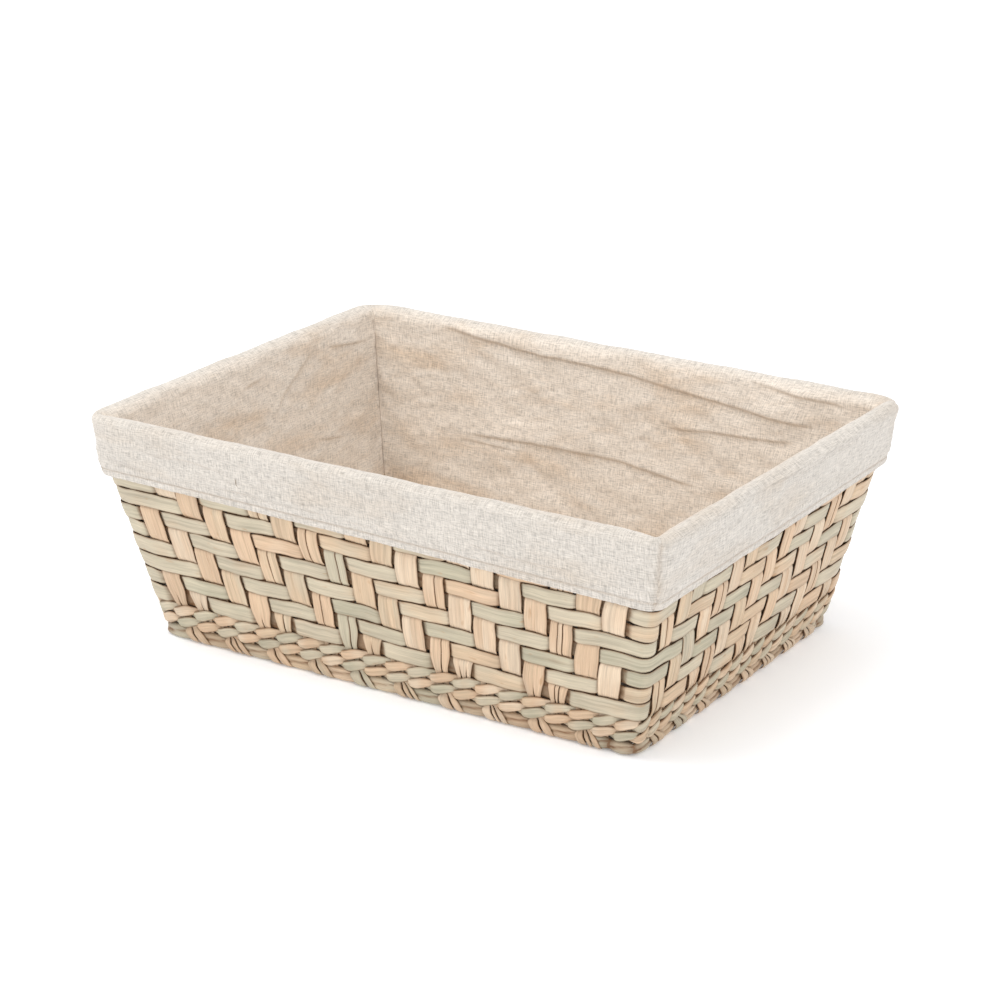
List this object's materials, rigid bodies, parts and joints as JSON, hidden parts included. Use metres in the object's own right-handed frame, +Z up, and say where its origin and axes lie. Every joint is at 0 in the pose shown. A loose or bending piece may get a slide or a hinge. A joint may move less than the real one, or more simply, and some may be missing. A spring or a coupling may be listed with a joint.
{
  "type": "lined bread basket",
  "caption": "Tapered rectangular bread basket, twill-woven from flat leaf strips over a twined foot, with a lift-out cloth liner whose elastic-hemmed cuff folds down over the rim.",
  "frame": {"origin": "centre of the flat face the basket stands on", "axes": "+X along the length towards the right end, +Y towards the back, +Z up"},
  "size_m": [0.36, 0.27, 0.13],
  "materials": {
    "stake_leaf": "matt, dry leaf strip",
    "weft_leaf": "matt, dry leaf strip",
    "twine_leaf": "matt, split leaf",
    "core_leaf": "matt, bundled leaf",
    "cloth": "plain-woven, linen-like",
    "elastic": "knitted, matt"
  },
  "bodies": {
    "basket": {"base_strips_long": "weft_leaf", "base_strips_cross": "stake_leaf", "stakes_front": "stake_leaf", "stakes_right": "stake_leaf", "stakes_back": "stake_leaf", "stakes_left": "stake_leaf", "weft_row_01": "weft_leaf", "weft_row_02": "weft_leaf", "weft_row_03": "weft_leaf", "weft_row_04": "weft_leaf", "weft_row_05": "weft_leaf", "weft_row_06": "weft_leaf", "weft_row_07": "weft_leaf", "weft_row_08": "weft_leaf", "weft_row_09": "weft_leaf", "weft_row_10": "weft_leaf", "twine_upper_a": "twine_leaf", "twine_upper_b": "twine_leaf", "twine_lower_a": "twine_leaf", "twine_lower_b": "twine_leaf", "foot_core": "core_leaf", "rim_core": "core_leaf", "rim_binding": "weft_leaf"},
    "liner": {"liner_floor": "cloth", "liner_wall_front": "cloth", "liner_wall_right": "cloth", "liner_wall_back": "cloth", "liner_wall_left": "cloth", "cuff_front": "cloth", "cuff_right": "cloth", "cuff_back": "cloth", "cuff_left": "cloth", "hem_elastic": "elastic"}
  },
  "joints": [
    {"name": "liner_lift", "type": "slide", "parent": "basket", "child": "liner", "axis": [0, 0, 1], "range_m": [0, 0.14], "deforming": ["cuff_front", "cuff_right", "cuff_back", "cuff_left", "hem_elastic"]}
  ]
}
